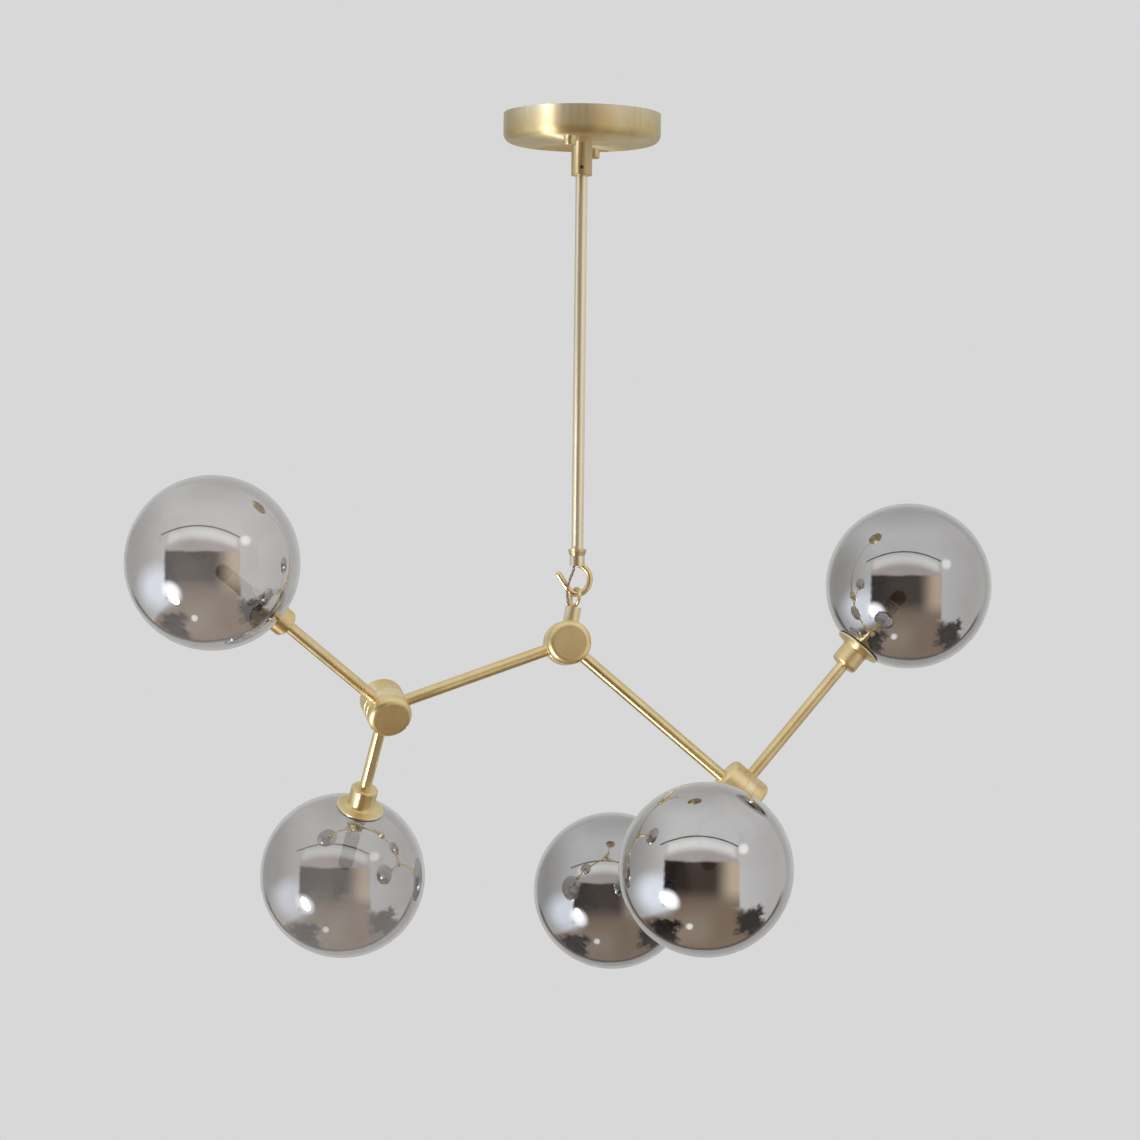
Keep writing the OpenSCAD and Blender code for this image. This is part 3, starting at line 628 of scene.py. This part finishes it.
hook_brass = brass("brass_hook", AXIS_POINT, Vector((0, 1, 0)), rough=0.36, brushed=0)
dress("hook", hook_brass)
dress("loop", hook_brass)

# the wire's route, in millimetres: down the stem, then past the hook
WIRE_INSIDE = [
    (0, 0, 6), (0, 0, -366), (-0.7, -0.3, -370), (-2.1, -0.8, -373.6), (-2.6, -1, -377),
]
WIRE_OUTSIDE = [
    (-2.6, -1, -377), (-2.8, -1.2, -380.5), (-4, -2.4, -385), (-6, -4.2, -390),
    (-7.6, -5.3, -396), (-8, -5.1, -402), (-7.5, -4.1, -408), (-6.65, -3.19, -412.6),
    (-6.8, -3.13, -420.5), (-7, -3.06, -430),
]
SLEEVE_R = 1.2 * MM
CORE_R = 0.42 * MM
CORE_AWAY = 0.48 * MM
CORE_PITCH = 9 * MM
sleeve_look = clear("wire_sleeve", (0.95, 0.93, 0.88), rough=0.12)
core_looks = (
    plated_steel("core_copper", (0.72, 0.40, 0.24)),
    plated_steel("core_tinned", (0.62, 0.60, 0.55)),
)
inside = [Vector(point) * MM for point in WIRE_INSIDE]
wire_pieces = [swept("wire_in_stem", inside, SLEEVE_R, sleeve_look, "hook_body")]
outside = curve_points([Vector(point) * MM for point in WIRE_OUTSIDE])
bending = [swept("wire_sleeve", outside, SLEEVE_R, sleeve_look, None)]
for k, look in enumerate(core_looks):
    core = twisted(outside, CORE_AWAY, CORE_PITCH, k * math.pi)
    bending.append(swept(f"wire_core_{k}", core, CORE_R, look, None, sides=8))
for piece in bending:
    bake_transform(piece)
    wire_pieces.append(piece)
for piece in wire_pieces:
    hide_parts("supply_wire")


# ---------------------------------------------------------------------------
# Hubs and arms. Each hub is three turned brass pieces, a back cup, a ring and
# a screwed cap, which clamp the ends of the drawn brass tubes between them.
# Every look here is lined up with its own drum's or tube's axis.
# ---------------------------------------------------------------------------
LAMPS = range(1, 6)
GLOBE_R = 70 * MM
joints = {joint["name"]: joint for joint in frame["joints"]}
globe_centre = {n: Vector(joints[f"globe_{n}_turn"]["pos_m"]) for n in LAMPS}
lamp_axis = {n: Vector(joints[f"globe_{n}_turn"]["axis"]).normalized() for n in LAMPS}


def middle(node):
    """The middle of a CAD node's box."""
    low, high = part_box(node)
    return (Vector(low) + Vector(high)) / 2


HUBS = ("centre", "left", "right")
HUB_CAP_MIDDLE = 13.5 * MM
hub_axis = {
    hub: (middle(f"{hub}_hub_cap") - middle(f"{hub}_hub_back")).normalized() for hub in HUBS
}
hub_centre = {hub: middle(f"{hub}_hub_cap") - HUB_CAP_MIDDLE * hub_axis[hub] for hub in HUBS}
for hub in HUBS:
    look = brass(f"brass_{hub}_hub", hub_centre[hub], hub_axis[hub], rough=0.42, brushed=0)
    for part in ("back", "ring", "cap"):
        dress(f"{hub}_hub_{part}", look)
for hub in ("left", "right"):
    along = hub_centre[hub] - hub_centre["centre"]
    look = brass(f"brass_arm_{hub}", hub_centre["centre"], along, drawn=True)
    dress(f"arm_centre_{hub}", look)
for n in LAMPS:
    dress(f"arm_{n}", brass(f"brass_arm_{n}", globe_centre[n], lamp_axis[n], drawn=True))


# ---------------------------------------------------------------------------
# Lamp holders. Each is a turned brass cup with a dished flange and a threaded
# neck that the globe's brass collar screws on, with a black rubber gasket on
# the flange and a white ceramic socket pressed into the cup.
# ---------------------------------------------------------------------------
LAMP_FOOT = -88.5 * MM
NECK_R = 7.3 * MM
NECK_PITCH = 1.4 * MM
NECK_THREAD_START = 24.0 * MM
NECK_THREAD_LEN = 5.6 * MM


def lamp_point(n, along, right=0.0):
    """A point of lamp n, measured from its holder's closed end along its axis."""
    turn = lamp_axis[n].to_track_quat("Z", "Y")
    return globe_centre[n] + turn @ Vector((right, 0, LAMP_FOOT + along))


ceramic = painted("white_ceramic", (0.78, 0.75, 0.68), rough=0.25, grain_scale=1500.0)
dress("globe_gaskets", painted("black_rubber", (0.02, 0.018, 0.016), rough=0.6))
for n in LAMPS:
    look = brass(f"brass_lamp_{n}", globe_centre[n], lamp_axis[n])
    dress(f"holder_{n}", look)
    dress(f"globe_collar_{n}", look)
    dress(f"socket_{n}", ceramic)
    ridge = thread(
        f"neck_thread_{n}", lamp_point(n, NECK_THREAD_START), lamp_axis[n],
        NECK_R, NECK_THREAD_LEN, NECK_PITCH, look, "branch",
    )


# ---------------------------------------------------------------------------
# Bulbs. Each has a clear glass envelope on a moulded foot, with a frosted
# inner capsule between two wire stays, a coiled filament on its leads, a
# brown dipped tip and two hairpin pins of tinned wire.
# ---------------------------------------------------------------------------
def arc(centre, radius, start, end, steps):
    """Points of an arc in an outline, angles in degrees from the radius direction."""
    points = []
    for k in range(steps + 1):
        angle = math.radians(start + (end - start) * k / steps)
        points.append(
            (centre[0] + radius * math.cos(angle), centre[1] + radius * math.sin(angle))
        )
    return points


def turned(name, outline, origin, axis, look, body, segments=64, sharp=40):
    """Turns a closed outline of (radius, height) points round an axis."""
    place = stood(origin, axis)
    count = len(outline)
    vertices, faces = [], []
    for s in range(segments):
        angle = 2 * math.pi * s / segments
        for radius, height in outline:
            vertices.append(
                place @ Vector((radius * math.cos(angle), radius * math.sin(angle), height))
            )
    for s in range(segments):
        here, there = s * count, (s + 1) % segments * count
        for k in range(count):
            ahead = (k + 1) % count
            faces.append((here + k, there + k, there + ahead, here + ahead))
    return keep(name, vertices, faces, look, body, sharp)


def shifted(outline):
    """An outline in millimetres from the holder's closed end, in metres from the globe's centre."""
    return [(radius * MM, height * MM + LAMP_FOOT) for radius, height in outline]


bulb_glass = clear("bulb_glass", (0.96, 0.96, 0.94), rough=0.01)
capsule_glass = clear("capsule_glass", (0.78, 0.66, 0.38), rough=0.35, through_it=0.35)
pin_metal = plated_steel("pin_metal", (0.70, 0.68, 0.64))
tip_coat = painted("tip_coat", (0.09, 0.035, 0.018), rough=0.2)

# outlines, (radius, height) in millimetres
ENVELOPE = [
    (0, 26.1), (5.6, 26.1), (5.6, 30.0), (7.0, 30.1), *arc((6.6, 31.4), 1.4, -70, 0, 5),
    (8.0, 37.6), *arc((6.9, 37.8), 1.1, 0, 50, 4), (6.9, 41.5), (6.45, 45.5), (6.3, 49.0),
    (6.3, 75.4), *arc((0, 75.4), 6.3, 8, 78, 12), (0.75, 81.55), (0, 81.7),
    (0, 80.2), *arc((0, 75.4), 5.5, 84, 0, 12), (5.5, 49.0), (5.7, 45.0), (5.6, 41.0),
    (4.6, 38.0), (2.4, 36.0), (0, 35.4),
]
CAPSULE = [
    (0, 43.0), (1.6, 43.2), (2.2, 46.0), (3.6, 48.5), (3.6, 64.5),
    *arc((0, 64.5), 3.6, 12, 78, 8), (0, 68.2),
    (0, 67.4), *arc((0, 64.5), 2.9, 78, 12, 8), (2.9, 49.0), (1.5, 47.2), (0, 46.8),
]
TIP = [
    (5.35, 70.0), (5.4, 75.4), *arc((0, 75.4), 5.4, 8, 84, 10), (0, 80.8),
    (0, 80.6), *arc((0, 75.4), 5.2, 84, 8, 10), (5.2, 75.4), (5.15, 70.0),
]

# wires, (along, aside) in millimetres, on both sides of the lamp's axis
HAIRPIN = [
    (27.0, -0.4), (21.6, -0.4), (20.9, -0.25), (20.6, 0.0), (20.9, 0.25), (21.6, 0.4), (27.0, 0.4),
]
PIN_AWAY = 4.5
LEAD = [(35.0, 4.3), (38.0, 3.6), (41.0, 1.6), (44.0, 1.1), (50.0, 1.1), (52.0, 0.9)]
STAY = [(41.0, 4.4), (44.0, 4.8), (50.0, 4.8), (60.0, 4.8), (66.0, 4.8), (69.0, 4.4)]
WIRE_R = {"pin": 0.3 * MM, "lead": 0.28 * MM, "stay": 0.45 * MM}
FILAMENT_CORE = (52.0, 56.0, 60.0, 63.0)
FILAMENT_R = 0.13 * MM
COIL_AWAY = 0.8 * MM
COIL_PITCH = 0.9 * MM
for n in LAMPS:
    centre, axis = globe_centre[n], lamp_axis[n]
    pieces = [
        turned(f"bulb_{part}_{n}", shifted(outline), centre, axis, look, "branch", segments)
        for part, outline, look, segments in (
            ("envelope", ENVELOPE, bulb_glass, 48),
            ("capsule", CAPSULE, capsule_glass, 32),
            ("tip", TIP, tip_coat, 40),
        )
    ]
    for k, side in enumerate((-1, 1)):
        routes = {
            "pin": [(along, side * PIN_AWAY + aside) for along, aside in HAIRPIN],
            "lead": [(along, side * aside) for along, aside in LEAD],
            "stay": [(along, side * aside) for along, aside in STAY],
        }
        for part, route in routes.items():
            bend = [lamp_point(n, along * MM, aside * MM) for along, aside in route]
            path = curve_points(bend, 4)
            name = f"bulb_{part}_{n}_{k}"
            pieces.append(swept(name, path, WIRE_R[part], pin_metal, "branch", 8))
    core = curve_points([lamp_point(n, along * MM) for along in FILAMENT_CORE], 60)
    coil = twisted(core, COIL_AWAY, COIL_PITCH, 0.0)
    pieces.append(swept(f"bulb_filament_{n}", coil, FILAMENT_R, pin_metal, "branch", 5))
    for piece in pieces:
        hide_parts(f"bulb_{n}")


# ---------------------------------------------------------------------------
# Globes. Each is a thin shell of smoked glass, blown to a ball with a rounded
# mouth and given a thin mirror coat on the outside. The coat and the smoke
# differ a little from globe to globe.
# ---------------------------------------------------------------------------
def smoked_mirror(name, mirror):
    """Smoked glass with a thin mirror coat, a little uneven as blown glass is."""
    look, tree, shader = new_material(name)
    point = add(tree, "ShaderNodeTexCoord").outputs["Object"]
    cloud = noise(tree, point, 22.0, 4.0, 0.55)
    specks = noise(tree, point, 420.0, 4.0, 0.7)
    coat = blend_colours(
        tree, smooth(tree, cloud, 0.35, 0.65), (0.88, 0.87, 0.86), (0.93, 0.925, 0.92),
    )
    value_or_link(tree, shader.inputs["Base Color"], coat)
    shader.inputs["Metallic"].default_value = mirror
    shader.inputs["Transmission Weight"].default_value = 1.0
    shader.inputs["IOR"].default_value = 1.45
    value_or_link(tree, shader.inputs["Roughness"], ranged(tree, specks, 0.3, 0.8, 0.0, 0.03))
    raised(tree, shader, 0.06, 0.6 * MM, cloud)
    return look


# how strongly each globe mirrors, and how clear its smoked inside is
COATS = {1: (0.46, 0.58), 2: (0.31, 0.48), 3: (0.46, 0.20), 4: (0.44, 0.20), 5: (0.56, 0.20)}
GLASS_T = 2 * MM
MOUTH_R = 14 * MM
WALL_MIDDLE = GLOBE_R - GLASS_T / 2
SEGMENTS = 160
mouth_turn = math.asin((MOUTH_R + GLASS_T / 2) / WALL_MIDDLE) - math.radians(90)
mouth_angle = math.degrees(mouth_turn)
lip_centre = (WALL_MIDDLE * math.cos(mouth_turn), WALL_MIDDLE * math.sin(mouth_turn))
GLOBE = [
    *arc((0, 0), GLOBE_R, mouth_angle, 90, 80),
    *arc((0, 0), GLOBE_R - GLASS_T, 90, mouth_angle, 80),
    *arc(lip_centre, GLASS_T / 2, mouth_angle + 180, mouth_angle + 360, 8)[1:-1],
]
for n in LAMPS:
    mirror, clearness = COATS[n]
    coat = smoked_mirror(f"smoked_mirror_{n}", mirror)
    piece = turned(
        f"globe_glass_{n}", GLOBE, globe_centre[n], lamp_axis[n], coat, f"globe_{n}_body",
        SEGMENTS,
    )
    smoke = (clearness, 0.95 * clearness, 0.92 * clearness)
    piece.data.materials.append(clear(f"smoked_inside_{n}", smoke, rough=0.0))
    for face in piece.data.polygons:
        if (face.center - globe_centre[n]).length < WALL_MIDDLE:
            face.material_index = 1
    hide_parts(f"globe_{n}")
